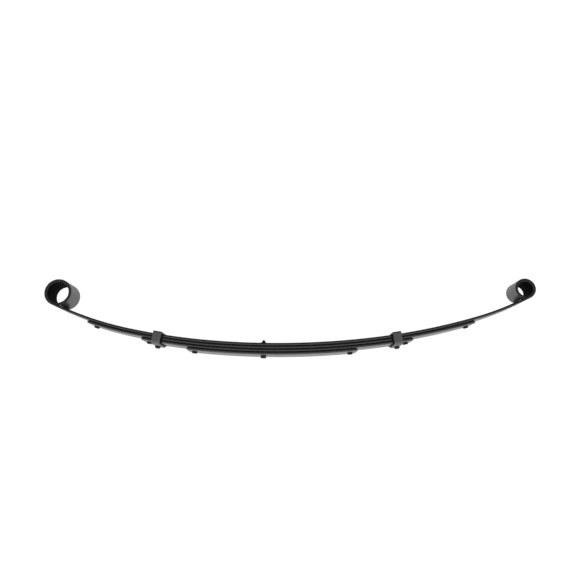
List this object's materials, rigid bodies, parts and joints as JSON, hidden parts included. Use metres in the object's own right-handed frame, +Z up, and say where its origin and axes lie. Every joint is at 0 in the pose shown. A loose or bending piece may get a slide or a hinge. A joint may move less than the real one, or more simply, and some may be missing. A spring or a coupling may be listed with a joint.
{
  "type": "leaf spring",
  "caption": "Four-leaf semi-elliptic leaf spring with rolled eyes of unequal size, centre bolt, tip inserts and two clinch clips.",
  "frame": {"origin": "on the centre bolt, where its head bears on the underside of the fourth leaf", "axes": "+X to the rear of the vehicle, +Y across the leaves, +Z up"},
  "size_m": [1.2428, 0.075, 0.2107],
  "materials": {
    "leaf_steel": "satin",
    "strap_steel": "satin",
    "fastener_steel": "satin",
    "insert_polymer": "matte",
    "liner_rubber": "matte"
  },
  "bodies": {
    "frame_side": {"main_leaf": "leaf_steel"},
    "front_half": {"second_leaf_front_insert": "insert_polymer"},
    "axle_seat": {"second_leaf": "leaf_steel", "third_leaf": "leaf_steel", "fourth_leaf": "leaf_steel", "centre_bolt": "fastener_steel", "centre_nut": "fastener_steel", "fourth_leaf_front_insert": "insert_polymer", "fourth_leaf_rear_insert": "insert_polymer"},
    "rear_half": {"second_leaf_rear_insert": "insert_polymer"},
    "front_clip": {"front_clip_strap": "strap_steel", "front_clip_liner": "liner_rubber", "front_clip_rivet": "fastener_steel", "third_leaf_front_insert": "insert_polymer"},
    "rear_clip": {"rear_clip_strap": "strap_steel", "rear_clip_liner": "liner_rubber", "rear_clip_rivet": "fastener_steel", "third_leaf_rear_insert": "insert_polymer"}
  },
  "joints": [
    {"name": "spring_travel", "type": "hinge", "parent": "frame_side", "child": "front_half", "pos_m": [-0.52248, 0, 0.14782], "axis": [0, -1, 0], "range_deg": [0, 14], "stiffness_Nm_per_rad": 3670, "deforming": ["main_leaf", "second_leaf", "third_leaf", "fourth_leaf"]},
    {"name": "seat_level", "type": "hinge", "parent": "front_half", "child": "axle_seat", "pos_m": [-0.16, 0, 0.032], "axis": [0, -1, 0], "range_deg": [-14.01, 0]},
    {"name": "rear_half_sweep", "type": "hinge", "parent": "axle_seat", "child": "rear_half", "pos_m": [0.196, 0, 0.035], "axis": [0, 1, 0], "range_deg": [0, 11]},
    {"name": "front_clip_sweep", "type": "hinge", "parent": "axle_seat", "child": "front_clip", "pos_m": [-0.20455, 0, 0.03403], "axis": [0, -1, 0], "range_deg": [0, 11.76]},
    {"name": "rear_clip_sweep", "type": "hinge", "parent": "axle_seat", "child": "rear_clip", "pos_m": [0.25429, 0, 0.03975], "axis": [0, 1, 0], "range_deg": [0, 9.13]}
  ],
  "couplings": [
    {"joint": "seat_level", "follows": "spring_travel", "ratio": -1},
    {"joint": "rear_half_sweep", "follows": "spring_travel", "ratio": 0.7852},
    {"joint": "front_clip_sweep", "follows": "spring_travel", "ratio": 0.8389},
    {"joint": "rear_clip_sweep", "follows": "spring_travel", "ratio": 0.6518}
  ]
}
